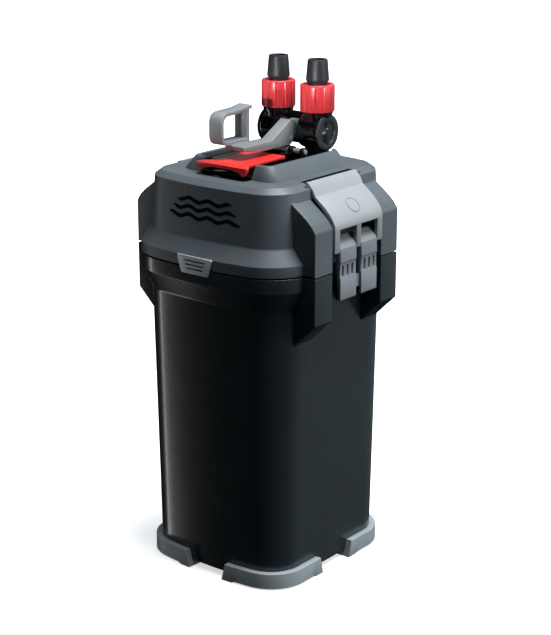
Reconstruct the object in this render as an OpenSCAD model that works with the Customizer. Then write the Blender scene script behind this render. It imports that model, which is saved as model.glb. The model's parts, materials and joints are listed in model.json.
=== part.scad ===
// Canister filter: free-standing external aquarium filter with a motor head,
// two side latches, a two-port shut-off valve and stacked media baskets.
// Millimetres. +Z up, front faces -Y, latches on +X and -X.
// Origin: centre of the footprint, on the surface that the feet stand on.

/* [Canister] */
// Width of the canister across the latch sides, at its rim
body_w = 149; // [146:1:152]
// Depth of the canister from front to back, at its rim
body_d = 156; // [154:1:158]
// Radius of the vertical corners at the rim
corner_r = 32; // [28:1:36]
// How far the front and back faces bow outward at the middle
face_bow = 3; // [2:0.5:4]
// How much the walls draw in between the rim and the floor
body_draft = 3.8; // [3:0.1:5]
// Wall thickness of the canister
body_wall = 3.3; // [3:0.1:3.6]
// Underside of the canister floor above the ground
floor_z = 4.4; // [4:0.2:5]
// Height of the joint line between the canister and the head
seam_z = 268; // [266:1:270]
// How far the thick rim belt stands out from the walls
belt_out = 8.5; // [7.5:0.25:9]

/* [Motor head] */
// Height of the flat top of the head
deck_z = 336; // [335:0.5:337]
// Height of the top edge of the raised frame on the head
frame_top_z = 347; // [346:0.5:348]
// Distance from the middle to the outer face of the latch guards
guard_x = 93.6; // [93:0.2:94]
// Half length of a latch guard, front to back
guard_half = 55.4; // [54:0.2:56]

/* [Latches] */
// Half width of the hook plate
plate_half = 31.7; // [31:0.1:32]
// Height of the two latch pivots
pivot_z = 286.5; // [286:0.25:287]
// Distance of the fixed lever pivot from the middle
lever_pivot_x = 83; // [82.5:0.25:83.5]
// Distance of the hook pivot from the middle
hook_pivot_x = 92.3; // [92:0.1:92.5]
// Radius of the latch pins
latch_pin_r = 1.5; // [1.3:0.1:1.6]

/* [Valve] */
// Distance of the valve axis behind the middle
valve_y = 41.8; // [41:0.2:43]
// Height of the valve axis
valve_z = 360.7; // [360:0.1:361.5]
// Radius of the valve barrels
barrel_r = 14.3; // [14.2:0.1:14.5]
// Half spacing of the two hose ports
port_x = 20.4; // [20.2:0.1:20.6]
// Height of the top of the hose nozzles
total_h = 420; // [418:1:422]
// Bore radius of a hose nozzle
nozzle_bore_r = 5.5; // [5:0.25:6]

/* [Pump] */
// Position of the impeller axis, front to back
pump_y = -12; // [-14:1:-10]
// Radius of the ceramic shaft
shaft_r = 1.5; // [1.25:0.05:2]
// Number of impeller blades
blades = 6; // [4:1:8]

/* [Media] */
// Height of one media basket
basket_h = 70; // [66:1:72]

/* [Hidden] */
$fn = 48;

eps = 0.05;
run_gap = 0.05;
half_w = body_w / 2;
half_d = body_d / 2;
seam_gap = 0.6;
belt_low_z = seam_z - 12.4;
belt_start_z = seam_z - 29.6;
belt_high_z = seam_z + 9.3;
belt_end_z = seam_z + 21.2;
shoulder_z = deck_z - 4.2;
shoulder_in = -3.6;
deck_in = -9.5;
channel_half = plate_half + 0.8;
channel_x = half_w + 2.5;
foot_h = 15;
foot_out = 1.8;
foot_gap = 21.6;
foot_in = -16;
finger_in = 3.4;
finger_out = 24.4;
window_in = 2.9;
window_out = 24.9;
window_top_z = 301.3;
post_out = 30;
port_bore_r = 4.25;
screw_r = 1.6;
badge_y = -88.8;
gland_x = -40;
gland_z = 305;
rotor_r = 12;
rotor_in = 10.8;
rotor_out = 29;
barrel_in = 9;
barrel_out = 31.6;
cap_r = 15.1;
cap_in = barrel_out - 1.5;
stem_r = 10.4;
stem_top_z = 392;
nut_low_z = 377.5;
nut_top_z = 399.9;
hub_r = 8;
lock_y = 21;
lock_z = 346.8;
lock_pin_r = 1.8;
basket_z = 30;
basket_x = 60;
basket_back = 32;
basket_front = -58;
basket_wall = 2;

// ---- outline of the body: a rounded rectangle whose front and back bow out ----
// A corner arc runs from the flat side to where the long bowed arc takes over, with one tangent.
corner_x = half_w - corner_r;
corner_y = half_d - corner_r;
bow_angle = 2 * atan(face_bow / corner_x);
bow_centre = corner_y - corner_x / tan(bow_angle);
function arc(cx, cy, r, from, to, steps) =
  [for (i = [0:steps]) let (a = from + (to - from) * i / steps) [cx + r * cos(a), cy + r * sin(a)]];
function back_half(d) = let (r = corner_r + d)
  concat(arc(corner_x, corner_y, r, 0, 90 - bow_angle, 8),
    arc(0, bow_centre, r + corner_x / sin(bow_angle), 90 - bow_angle * 0.8, 90 + bow_angle * 0.8, 6),
    arc(-corner_x, corner_y, r, 90 + bow_angle, 180, 8));
function outline(d) = concat(back_half(d), [for (p = back_half(d)) -p]);

module slab(z, h, d) {
  translate([0, 0, z]) linear_extrude(h) polygon(outline(d));
}

module loft(z0, d0, z1, d1) {
  hull() {
    slab(z0, eps, d0);
    slab(z1 - eps, eps, d1);
  }
}

module ring(z, h, outer, inner) {
  difference() {
    slab(z, h, outer);
    slab(z - 1, h + 2, inner);
  }
}

// A polygon of X-Z points, extruded along Y between y0 and y1
module side_plate(points, y0, y1) {
  translate([0, y1, 0]) rotate([90, 0, 0]) linear_extrude(y1 - y0) polygon(points);
}

// A polygon of Y-Z points, extruded along X between x0 and x1
module cross_plate(points, x0, x1) {
  translate([x0, 0, 0]) rotate([90, 0, 90]) linear_extrude(x1 - x0) polygon(points);
}

module rod_y(x, z, r, y0, y1) {
  translate([x, y0, z]) rotate([-90, 0, 0]) cylinder(r = r, h = y1 - y0);
}

module rod_x(y, z, r, x0, x1) {
  translate([x0, y, z]) rotate([0, 90, 0]) cylinder(r = r, h = x1 - x0);
}

module tube_z(x, y, z, h, outer, inner) {
  translate([x, y, z]) difference() {
    cylinder(r = outer, h = h);
    translate([0, 0, -1]) cylinder(r = inner, h = h + 2);
  }
}

module block(low, high) {
  translate(low) cube(high - low);
}

module both_sides() {
  children();
  mirror([1, 0, 0]) children();
}

module front_and_back() {
  children();
  mirror([0, 1, 0]) children();
}

function rounded(x0, y0, x1, y1, r) = concat(
  [for (a = [0:15:90]) [x1 - r + r * cos(a), y1 - r + r * sin(a)]],
  [for (a = [90:15:180]) [x0 + r + r * cos(a), y1 - r + r * sin(a)]],
  [for (a = [180:15:270]) [x0 + r + r * cos(a), y0 + r + r * sin(a)]],
  [for (a = [270:15:360]) [x1 - r + r * cos(a), y0 + r + r * sin(a)]]);

// ---- canister ----
guard_low = [[72, 208.1], [guard_x, 229], [guard_x, seam_z - seam_gap], [72, seam_z - seam_gap]];
guard_high = [[70, seam_z + seam_gap], [guard_x, seam_z + seam_gap], [guard_x, 303.2], [92, 306.4],
  [89.4, 309.7], [84.6, 314.2], [78.6, 318.6], [70.6, 324.3], [66, 325], [66, 300], [70, 290]];

module latch_post(y0, y1) {
  side_plate([[73, 232], [lever_pivot_x + 3.4, 245], [lever_pivot_x + 3.4, pivot_z],
    [lever_pivot_x - 3.4, pivot_z], [lever_pivot_x - 5, seam_z - seam_gap], [73, seam_z - seam_gap]],
    y0, y1);
  rod_y(lever_pivot_x, pivot_z, 3.4, y0, y1);
}

module latch_mount() {
  front_and_back() side_plate(guard_low, channel_half, guard_half);
  front_and_back() latch_post(window_out + 0.3, post_out);
  latch_post(-2.2, 2.2);
}

module canister_skin() {
  loft(floor_z, -body_draft, belt_start_z + eps, 0);
  loft(belt_start_z, 0, belt_low_z + eps, belt_out);
  slab(belt_low_z, seam_z - seam_gap - belt_low_z, belt_out);
}

module canister() {
  color([0.05, 0.06, 0.07]) difference() {
    union() {
      difference() {
        canister_skin();
        both_sides() block([channel_x - 2, -channel_half, belt_start_z - 10], [120, channel_half, 300]);
      }
      both_sides() latch_mount();
    }
    loft(floor_z + 3, -body_draft - body_wall, belt_low_z, -body_wall);
    slab(belt_low_z - eps, 40, -body_wall);
    badge_pocket();
    both_sides() rod_y(lever_pivot_x, pivot_z, latch_pin_r, -post_out - 1, post_out + 1);
  }
}

module badge_pocket() {
  block([-19, -100, 262], [19, badge_y, 278]);
}

module foot(sx, sy) {
  color([0.42, 0.43, 0.45]) scale_side(sx, sy) intersection() {
    union() {
      ring(floor_z - 0.1, foot_h - floor_z + 0.1, foot_out, 0.35 - body_draft);
      ring(0, floor_z - 0.1, foot_out, foot_in);
    }
    block([foot_gap, foot_gap, -1], [120, 120, foot_h + 1]);
  }
}

module scale_side(sx, sy) {
  mirror([sx < 0 ? 1 : 0, 0, 0]) mirror([0, sy < 0 ? 1 : 0, 0]) children();
}

module foot_front_left() { foot(-1, -1); }
module foot_front_right() { foot(1, -1); }
module foot_back_left() { foot(-1, 1); }
module foot_back_right() { foot(1, 1); }

// ---- head ----
hook_slot = [[60, 345], [60, 326], [68.9, 326], [69.3, 330], [71.3, 325.4], [85, 325.4], [85, 345]];

module head_skin() {
  slab(seam_z + seam_gap, belt_high_z - seam_z - seam_gap + eps, belt_out);
  loft(belt_high_z, belt_out, belt_end_z + eps, -0.8);
  loft(belt_end_z, -0.8, shoulder_z + eps, shoulder_in);
  loft(shoulder_z, shoulder_in, deck_z, deck_in);
}

module head_cover() {
  color([0.22, 0.24, 0.26]) difference() {
    union() {
      difference() {
        head_skin();
        loft(seam_z - 1, -4, deck_z - 3, -13);
        both_sides() block([channel_x, -channel_half, seam_z - 1], [120, channel_half, 305]);
      }
      both_sides() block([56, -channel_half - 4, deck_z - 14], [69, channel_half + 4, deck_z - 1]);
      screw_places() translate([0, 0, 7.1]) cylinder(r = 3.5, h = deck_z - seam_z - 8);
      both_sides() front_and_back() side_plate(guard_high, channel_half, guard_half);
    }
    both_sides() side_plate(hook_slot, -channel_half, channel_half);
    both_sides() translate([port_x, valve_y, deck_z - 10]) cylinder(r = 10.1, h = 20);
    rod_y(gland_x, gland_z, 6, 60, 90);
    rod_y(gland_x, gland_z, 8.2, 76, 90);
    badge_pocket();
    screw_places() cylinder(r = screw_r, h = 20);
  }
}

module screw_places() {
  for (p = [[46, -48], [57, 0], [46, 54], [-46, -48], [-57, 0], [-46, 54]])
    translate([p[0], p[1], seam_z - 2]) children();
}

module head_base() {
  color([0.12, 0.13, 0.14]) difference() {
    union() {
      slab(seam_z + 1, 4, -5);
      ring(seam_z - 12, 13 + eps, -7, -10);
      translate([0, pump_y, seam_z - 11.5]) cylinder(r = 22, h = 13);
      translate([0, pump_y, seam_z + 1]) cylinder(r = 13.5, h = 40);
      both_sides() translate([port_x, valve_y, seam_z - 12]) cylinder(r = 12, h = deck_z - seam_z + 9);
    }
    translate([0, pump_y, seam_z - 12]) cylinder(r = 19, h = 13);
    translate([0, pump_y, seam_z]) cylinder(r = 11.5, h = 36);
    translate([0, pump_y, seam_z]) cylinder(r = 3.6, h = 39.5);
    tube_z(0, pump_y, seam_z - 12, 1.6, 21.4, 19.8);
    both_sides() translate([port_x, valve_y, seam_z - 13]) cylinder(r = 6.5, h = 60);
    both_sides() translate([port_x, valve_y, deck_z - 23]) cylinder(r = 10.1, h = 40);
    screw_places() cylinder(r = screw_r + 0.1, h = 20);
  }
}

module head_gasket() {
  color([0.04, 0.04, 0.04]) ring(seam_z - 8, 5, -body_wall - 0.05, -6.95);
}

frame_low = rounded(-49.5, -51, 49.5, 52, 16);
frame_high = rounded(-41, -46, 41, 48.5, 12);
recess = rounded(-37.5, -42, 37.5, 64, 9);

module deck_frame() {
  color([0.25, 0.27, 0.29]) difference() {
    hull() {
      translate([0, 0, deck_z]) linear_extrude(2) polygon(frame_low);
      translate([0, 0, frame_top_z - eps]) linear_extrude(eps) polygon(frame_high);
    }
    translate([0, 0, deck_z - 1]) linear_extrude(30) polygon(recess);
    block([-27, -60, deck_z + 2.5], [27, -30, 360]);
    rod_x(valve_y, valve_z, cap_r + 0.3, -38, 38);
  }
}

module deck_panel() {
  color([0.03, 0.03, 0.03]) difference() {
    union() {
      translate([0, 0, deck_z]) linear_extrude(3) polygon(rounded(-37.3, -41.8, 37.3, 43.8, 8.8));
      both_sides() cross_plate([[lock_y - 4, deck_z + 2], [lock_y + 4, deck_z + 2],
        [lock_y + 3.4, lock_z + 3.4], [lock_y - 3.4, lock_z + 3.4]], 20.5, 24);
    }
    both_sides() translate([port_x, valve_y, deck_z - 1]) cylinder(r = 10.1, h = 20);
    rod_x(lock_y, lock_z, lock_pin_r, -26, 26);
  }
}

module front_badge() {
  color([0.75, 0.76, 0.78]) translate([0, badge_y, 0]) rotate([90, 0, 0]) linear_extrude(90 + badge_y)
    polygon([[-14, 262.8], [14, 262.8], [18.5, 277.5], [-18.5, 277.5]]);
}

module front_mark() {
  color([0.02, 0.02, 0.03]) intersection() {
    difference() {
      loft(belt_end_z, -0.5, shoulder_z + eps, shoulder_in + 0.3);
      loft(belt_end_z, -0.8, shoulder_z + eps, shoulder_in);
    }
    for (row = [0:2]) block([-37.5 + 5 * row, -100, 304.5 + 6.5 * row], [37.5 - 5 * row, 0, 308 + 6.5 * row]);
  }
}

module cord_gland() {
  color([0.05, 0.05, 0.05]) difference() {
    union() {
      rod_y(gland_x, gland_z, 5.95, 66, 78);
      rod_y(gland_x, gland_z, 8, 76.1, 82);
      rod_y(gland_x, gland_z, 6, 81, 90);
    }
    rod_y(gland_x, gland_z, 3.2, 60, 95);
  }
}

module head_screws() {
  color([0.7, 0.7, 0.72]) screw_places() {
    cylinder(r = screw_r, h = 18);
    cylinder(r = 3, h = 2.9);
  }
}

// ---- pump ----
module stator_core() {
  color([0.35, 0.35, 0.38]) difference() {
    block([-16, pump_y - 30, 278], [50, pump_y + 30, 300]);
    block([16, pump_y - 12, 270], [42, pump_y + 12, 310]);
    translate([0, pump_y, 270]) cylinder(r = 13.6, h = 50);
  }
}

module stator_coil(y) {
  color([0.72, 0.36, 0.14]) difference() {
    block([17, y - 11.8, 275], [41, y + 11.8, 303]);
    block([16, y - 9.1, 277.9], [42, y + 9.1, 300.1]);
  }
}

module stator_coil_front() { stator_coil(pump_y - 21); }
module stator_coil_back() { stator_coil(pump_y + 21); }

module shaft_bush(z, h) {
  color([0.1, 0.1, 0.1]) tube_z(0, pump_y, z, h, 3.55, shaft_r);
}

module shaft_bush_top() { shaft_bush(303.6, 3.6); }
module shaft_bush_bottom() { shaft_bush(253.5, 2.7); }

module impeller_shaft() {
  color([0.92, 0.92, 0.9]) translate([0, pump_y, 253.5]) cylinder(r = shaft_r, h = 53);
}

module rotor_magnet() {
  color([0.2, 0.2, 0.22]) tube_z(0, pump_y, 274, 28, 10.5, shaft_r + run_gap);
}

module impeller() {
  color([0.85, 0.85, 0.85]) difference() {
    translate([0, pump_y, 0]) {
      translate([0, 0, 257.5]) cylinder(r = 6, h = 16.5);
      for (i = [0:blades - 1]) rotate(i * 360 / blades) block([5, -0.8, 258.5], [17, 0.8, 268]);
    }
    translate([0, pump_y, 250]) cylinder(r = shaft_r + run_gap, h = 40);
  }
}

module impeller_cover() {
  color([0.15, 0.16, 0.17]) translate([0, pump_y, 253.4]) difference() {
    union() {
      tube_z(0, 0, 0, 2.8, 22, 9);
      tube_z(0, 0, 0, 2.8, 5, 3.55);
      for (i = [0:3]) rotate(i * 90) block([4.5, -1, 0], [10, 1, 2.8]);
    }
    translate([0, 0, -1]) cylinder(r = 3.55, h = 10);
  }
}

module cover_seal() {
  color([0.04, 0.04, 0.04]) tube_z(0, pump_y, 256.25, 1.1, 21.3, 19.9);
}

// ---- latches, drawn for the +X side ----
plate_profile = [[65.4, 328.2], [67.6, 328.2], [68.2, 331.8], [70.3, 329.8], [72.5, 325.3],
  [77, 320.8], [82, 316.6], [86.6, 311.8], [90, 307], [91.9, 302], [91.9, 292], [89.9, 290],
  [89.9, 283], [94.9, 283], [95.2, 303], [93.2, 309.2], [89.6, 314], [85.2, 318.4], [80.2, 322.5],
  [75.2, 326.2], [72.8, 331], [68.2, 336.2], [65.4, 336.2]];
lever_profile = [[81, 289], [84.4, 293.4], [86.2, 294], [93.3, 288.3], [94.9, 285.6], [95.25, 274.2],
  [94.7, 273], [94.7, 262], [95.25, 261], [95.25, 243.3], [92.8, 243.3], [91.2, 262], [90.6, 274],
  [89.8, 279], [86.4, 283.1], [83, 283.1]];

module latch_hook_right() {
  color([0.8, 0.81, 0.83]) difference() {
    side_plate(plate_profile, -plate_half, plate_half);
    front_and_back() block([85, window_in, 280], [100, window_out, window_top_z]);
    rod_y(hook_pivot_x, pivot_z, latch_pin_r + run_gap, -40, 40);
  }
}

module latch_lever_right() {
  color([0.62, 0.64, 0.66]) difference() {
    union() {
      front_and_back() {
        side_plate(lever_profile, finger_in, finger_out);
        rod_y(lever_pivot_x, pivot_z, 3.4, finger_in, finger_out);
      }
      block([91.5, -finger_in - 1, 250], [93, finger_in + 1, 260]);
    }
    rod_y(lever_pivot_x, pivot_z, latch_pin_r + run_gap, -40, 40);
    rod_y(hook_pivot_x, pivot_z, latch_pin_r, -40, 40);
    front_and_back() for (i = [0:2]) block([92.9, 7 + 6.2 * i, 263], [96, 9.6 + 6.2 * i, 272]);
  }
}

module latch_lever_left() { mirror([1, 0, 0]) latch_lever_right(); }
module latch_hook_left() { mirror([1, 0, 0]) latch_hook_right(); }

module latch_pin(x) {
  color([0.75, 0.75, 0.77]) rod_y(x, pivot_z, latch_pin_r, -30, 30);
}

module lever_pin_right() { latch_pin(lever_pivot_x); }
module lever_pin_left() { latch_pin(-lever_pivot_x); }
module hook_pin_right() { latch_pin(hook_pivot_x); }
module hook_pin_left() { latch_pin(-hook_pivot_x); }

// ---- valve ----
module valve_block() {
  color([0.03, 0.03, 0.035]) difference() {
    union() {
      both_sides() {
        rod_x(valve_y, valve_z, barrel_r, barrel_in, barrel_out - 1.6);
        translate([port_x, valve_y, valve_z]) cylinder(r = stem_r, h = stem_top_z - valve_z);
        translate([port_x, valve_y, deck_z - 22]) cylinder(r = 10, h = valve_z - deck_z + 22);
      }
      intersection() {
        difference() {
          rod_x(valve_y, valve_z, barrel_r, -barrel_in - 1, barrel_in + 1);
          rod_x(valve_y, valve_z, hub_r + 0.8, -20, 20);
        }
        block([-20, valve_y + 1.5, 330], [20, 80, 400]);
      }
    }
    both_sides() {
      rod_x(valve_y, valve_z, rotor_r + run_gap, barrel_in + 1.6, barrel_out);
      rod_x(valve_y, valve_z, 4 + run_gap, barrel_in - 2, barrel_in + 4);
      translate([port_x, valve_y, 300]) cylinder(r = port_bore_r, h = 100);
      for (z = [deck_z - 16, deck_z - 9]) tube_z(port_x, valve_y, z, 2, 12, 8.6);
      rod_x(valve_y, valve_z, cap_r + 0.1, cap_in - 0.1, cap_in + 5);
    }
  }
}

module valve_cap_right() {
  color([0.3, 0.32, 0.33]) difference() {
    union() {
      rod_x(valve_y, valve_z, rotor_r - 0.05, rotor_out + 0.2, cap_in);
      rod_x(valve_y, valve_z, cap_r, cap_in, barrel_out);
    }
    rod_x(valve_y, valve_z, 9.7, barrel_out - 1, barrel_out + 1);
  }
}

module valve_cap_left() { mirror([1, 0, 0]) valve_cap_right(); }

module port_seals() {
  color([0.02, 0.02, 0.02]) both_sides() for (z = [deck_z - 15.9, deck_z - 8.9])
    tube_z(port_x, valve_y, z, 1.8, 10.05, 8.65);
}

module valve_rotor_right() {
  color([0.88, 0.88, 0.86]) difference() {
    rod_x(valve_y, valve_z, rotor_r, rotor_in, rotor_out);
    translate([port_x, valve_y, 300]) cylinder(r = port_bore_r, h = 100);
    rod_x(valve_y, valve_z, 4, rotor_in - 1, rotor_in + 3);
  }
}

module valve_rotor_left() { mirror([1, 0, 0]) valve_rotor_right(); }

module valve_shaft() {
  color([0.7, 0.7, 0.72]) rod_x(valve_y, valve_z, 4, -rotor_in - 3, rotor_in + 3);
}

loop_outer = rounded(-46.5, 357, -11.5, 385, 9);
loop_inner = rounded(-43.5, 360, -14.5, 382, 6.5);

module valve_lever() {
  color([0.55, 0.57, 0.58]) difference() {
    union() {
      cross_plate([[-36, 353.5], [-36, 357], [0, 357], [0, 350.3], [-17, 350.3]], -7, 6.5);
      cross_plate([[-2, 350.3], [-2, 357], [25, 371], [36, 366.3], [36, 355], [24, 350.3]], -4.5, 6.5);
      rod_x(valve_y, valve_z, hub_r, -6.8, 6.8);
      difference() {
        union() {
          cross_plate(loop_outer, -21, -7.5);
          cross_plate([[-30, 357], [-11.5, 357], [-11.5, 384], [-8, 384], [-8, 387], [-30, 385]], -21, -7.5);
        }
        cross_plate(loop_inner, -30, 0);
      }
      block([-12, -36, 353.5], [-6, -15, 358]);
    }
    rod_x(valve_y, valve_z, 4, -20, 20);
  }
}

module lock_lever() {
  color([0.86, 0.13, 0.12]) difference() {
    union() {
      block([-19, -47, 343.3], [19, 1.5, 345.8]);
      linear_extrude_at(343.3, 2.5, [[-19, -46], [19, -46], [26, -54], [-26, -54]]);
      cross_plate([[-54, 345.8], [-52, 343], [-55.5, 338.2], [-56.6, 338.6]], -24, 24);
      both_sides() {
        block([8, 0, 343.3], [13, lock_y, 345.8]);
        rod_x(lock_y, lock_z, 3.5, 8, 13);
      }
    }
    rod_x(lock_y, lock_z, lock_pin_r + run_gap, -26, 26);
  }
}

module linear_extrude_at(z, h, points) {
  translate([0, 0, z]) linear_extrude(h) polygon(points);
}

module lock_lever_pin() {
  color([0.66, 0.68, 0.7]) rod_x(lock_y, lock_z, lock_pin_r, -25, 25);
}

module nozzle(x) {
  color([0.2, 0.22, 0.24]) translate([x, valve_y, 0]) rotate_extrude() polygon([
    [nozzle_bore_r, stem_top_z], [10, stem_top_z], [10, stem_top_z + 2], [8, stem_top_z + 2.1],
    [8, 401.2], [9.6, 403], [8.1, total_h], [nozzle_bore_r, total_h]]);
}

module nozzle_left() { nozzle(-port_x); }
module nozzle_right() { nozzle(port_x); }

module lock_nut(x) {
  color([0.85, 0.2, 0.22]) translate([x, valve_y, 0]) difference() {
    rotate_extrude() polygon([[stem_r + 0.1, nut_low_z], [13.6, nut_low_z], [barrel_r, 378.5],
      [barrel_r, nut_top_z - 1], [13.6, nut_top_z], [9.8, nut_top_z], [9.8, 397.1], [stem_r + 0.1, 397.1]]);
    for (i = [0:11]) rotate(i * 30) translate([barrel_r + 0.3, 0, 370]) cylinder(r = 1, h = 40);
  }
}

module lock_nut_left() { lock_nut(-port_x); }
module lock_nut_right() { lock_nut(port_x); }

module clamp_sleeve(x) {
  color([0.8, 0.8, 0.8]) tube_z(x, valve_y, 394.3, 2.5, 10.3, 8.2);
}

module clamp_sleeve_left() { clamp_sleeve(-port_x); }
module clamp_sleeve_right() { clamp_sleeve(port_x); }

// ---- media ----
module media_basket(level) {
  z = basket_z + level * basket_h;
  color([0.16, 0.17, 0.18]) difference() {
    block([-basket_x, basket_front, z], [basket_x, basket_back, z + basket_h - 1]);
    block([-basket_x + basket_wall, basket_front + basket_wall, z + 3],
      [basket_x - basket_wall, basket_back - basket_wall, z + basket_h + 5]);
    for (i = [-6:6], j = [-4:4]) block([i * 8.8 - 2.8, j * 9 - 16, z - 1], [i * 8.8 + 2.8, j * 9 - 10.5, z + 5]);
  }
}

module media_basket_1() { media_basket(0); }
module media_basket_2() { media_basket(1); }
module media_basket_3() { media_basket(2); }

module basket_cover() {
  z = basket_z + 3 * basket_h - 1;
  color([0.16, 0.17, 0.18]) difference() {
    union() {
      block([-basket_x, basket_front, z], [basket_x, basket_back, z + 3]);
      block([-3, basket_front + 12, z + 3], [3, basket_back - 12, z + 5]);
    }
    for (i = [-6:6], j = [-4:4])
      if (abs(i) > 0) block([i * 8.8 - 2.8, j * 9 - 16, z - 1], [i * 8.8 + 2.8, j * 9 - 10.5, z + 4]);
  }
}

module ceramic_rings() {
  color([0.9, 0.88, 0.84]) for (i = [-3:3], j = [-2:2], k = [0:2])
    tube_z(i * 15.8, j * 16 - 13, basket_z + 3.5 + k * 16, 14, 7, 3.5);
}

module fine_pads() {
  color([0.93, 0.93, 0.9]) for (level = [1:2], k = [0:1])
    block([-basket_x + 3, basket_front + 3, basket_z + level * basket_h + 4 + 22 * k],
      [basket_x - 3, basket_back - 3, basket_z + level * basket_h + 24 + 22 * k]);
}

module foam_frame() {
  color([0.16, 0.17, 0.18]) difference() {
    block([-50, basket_back + 1, basket_z], [50, 62, basket_z + 3 * basket_h]);
    for (k = [0:1]) block([-48, basket_back, basket_z + 3 + 105 * k], [48, 70, basket_z + 102 + 105 * k]);
  }
}

module foam(y0, y1) {
  color([0.1, 0.1, 0.1]) for (k = [0:1])
    block([-47.5, y0, basket_z + 3.5 + 105 * k], [47.5, y1, basket_z + 101.5 + 105 * k]);
}

module foam_front() { foam(basket_back + 1.5, 47); }
module foam_back() { foam(47.5, 61.5); }

canister();
foot_front_left();
foot_front_right();
foot_back_left();
foot_back_right();
head_cover();
head_base();
head_gasket();
deck_frame();
deck_panel();
front_badge();
front_mark();
cord_gland();
stator_core();
stator_coil_front();
stator_coil_back();
shaft_bush_top();
shaft_bush_bottom();
impeller_shaft();
rotor_magnet();
impeller();
impeller_cover();
cover_seal();
head_screws();
latch_lever_left();
latch_lever_right();
latch_hook_left();
latch_hook_right();
lever_pin_left();
lever_pin_right();
hook_pin_left();
hook_pin_right();
valve_block();
valve_cap_left();
valve_cap_right();
port_seals();
valve_rotor_left();
valve_rotor_right();
valve_lever();
valve_shaft();
lock_lever();
lock_lever_pin();
nozzle_left();
nozzle_right();
lock_nut_left();
lock_nut_right();
clamp_sleeve_left();
clamp_sleeve_right();
media_basket_1();
media_basket_2();
media_basket_3();
basket_cover();
ceramic_rings();
fine_pads();
foam_frame();
foam_front();
foam_back();
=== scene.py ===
"""The looks of the canister filter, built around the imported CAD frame."""

import json
import math

import bmesh
import bpy
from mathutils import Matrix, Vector


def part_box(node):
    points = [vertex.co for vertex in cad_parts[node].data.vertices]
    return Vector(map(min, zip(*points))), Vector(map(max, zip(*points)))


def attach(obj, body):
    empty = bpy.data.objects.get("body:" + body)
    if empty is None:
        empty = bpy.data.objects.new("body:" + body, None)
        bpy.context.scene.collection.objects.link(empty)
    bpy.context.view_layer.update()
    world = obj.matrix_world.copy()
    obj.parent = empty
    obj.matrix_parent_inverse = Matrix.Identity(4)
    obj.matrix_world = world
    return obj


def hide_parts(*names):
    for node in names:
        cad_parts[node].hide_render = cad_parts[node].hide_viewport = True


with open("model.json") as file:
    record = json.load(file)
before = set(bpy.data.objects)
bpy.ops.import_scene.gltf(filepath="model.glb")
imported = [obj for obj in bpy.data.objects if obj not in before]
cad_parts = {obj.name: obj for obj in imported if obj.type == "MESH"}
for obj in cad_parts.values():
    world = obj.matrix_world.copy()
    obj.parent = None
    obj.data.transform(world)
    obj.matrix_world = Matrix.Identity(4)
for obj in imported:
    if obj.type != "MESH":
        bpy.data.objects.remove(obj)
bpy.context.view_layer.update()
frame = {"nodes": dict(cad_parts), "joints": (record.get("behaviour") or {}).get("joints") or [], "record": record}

# ---- measures, in millimetres, from the frame ----
MM = 0.001
X, Y, Z = 0, 1, 2
JOINTS = {j["name"]: j for j in frame["joints"]}


def low(node, axis):
    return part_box(node)[0][axis] / MM


def high(node, axis):
    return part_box(node)[1][axis] / MM


def pivot(joint):
    return [c / MM for c in JOINTS[joint]["pos_m"]]


TOP = high("nozzle_right", Z)
SEAM_HIGH = low("head_cover", Z)
SEAM_LOW = SEAM_HIGH - 1.2
SEAM = (SEAM_HIGH + SEAM_LOW) / 2
DECK = low("deck_frame", Z)
FRAME_TOP = high("deck_frame", Z)
GUARD_X = high("head_cover", X)
PLATE_HALF = high("latch_hook_right", Y)
LEVER_X, _, PIVOT_Z = pivot("latch_right_lift")
_, VALVE_Y, VALVE_Z = pivot("valve_lever_lift")
_, LOCK_Y, LOCK_Z = pivot("lock_lever_lift")
BARREL_R = (high("valve_block", Y) - low("valve_block", Y)) / 2
BARREL_END = high("valve_cap_right", X)
CAP_R = (high("valve_cap_right", Z) - low("valve_cap_right", Z)) / 2
PORT_X = (low("nozzle_right", X) + high("nozzle_right", X)) / 2
NUT_LOW = low("lock_nut_right", Z)
NUT_TOP = high("lock_nut_right", Z)
FOOT_TOP = high("foot_front_right", Z)
BADGE_Y = low("front_badge", Y)

# ---- measures of the looks alone, in millimetres ----
HALF_W = 74.5
HALF_D = 78.0
CORNER_R = 32.0
BOW = 3.0
DRAFT = 3.8
WALL = 3.3
FLOOR = 4.4
BELT = 8.5
FLARE_LOW = 238.4
BELT_LOW = 255.6
BELT_HIGH = 277.3
BELT_END = 289.2
SHOULDER = DECK - 4.2
SHOULDER_IN = -3.6
DECK_IN = -9.5
WINDOW_IN, WINDOW_OUT, WINDOW_TOP = 2.9, 24.9, 301.3
GUARD_HALF = 55.4
TAB_IN, TAB_OUT = 3.4, 24.4
CHANNEL_HALF = PLATE_HALF + 0.8
CHANNEL_X = HALF_W + 2.5
CORNER_X = HALF_W - CORNER_R
CORNER_Y = HALF_D - CORNER_R
BOW_ANGLE = 2 * math.atan(BOW / CORNER_X)
BOW_CENTRE = CORNER_Y - CORNER_X / math.tan(BOW_ANGLE)


# ---- mesh tools ----
SHARP_DEGREES = 35
WELD_METRES = 1e-6
STRAIGHT_RADIANS = 0.03
EDGE_SHARE = 0.48


def polar(cx, cy, r, a):
    return (cx + r * math.cos(a), cy + r * math.sin(a))


def arc(cx, cy, r, start, end, steps):
    """Points along a circle from angle start to angle end, in degrees, ends included."""
    return [polar(cx, cy, r, math.radians(start + (end - start) * i / steps)) for i in range(steps + 1)]


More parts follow.
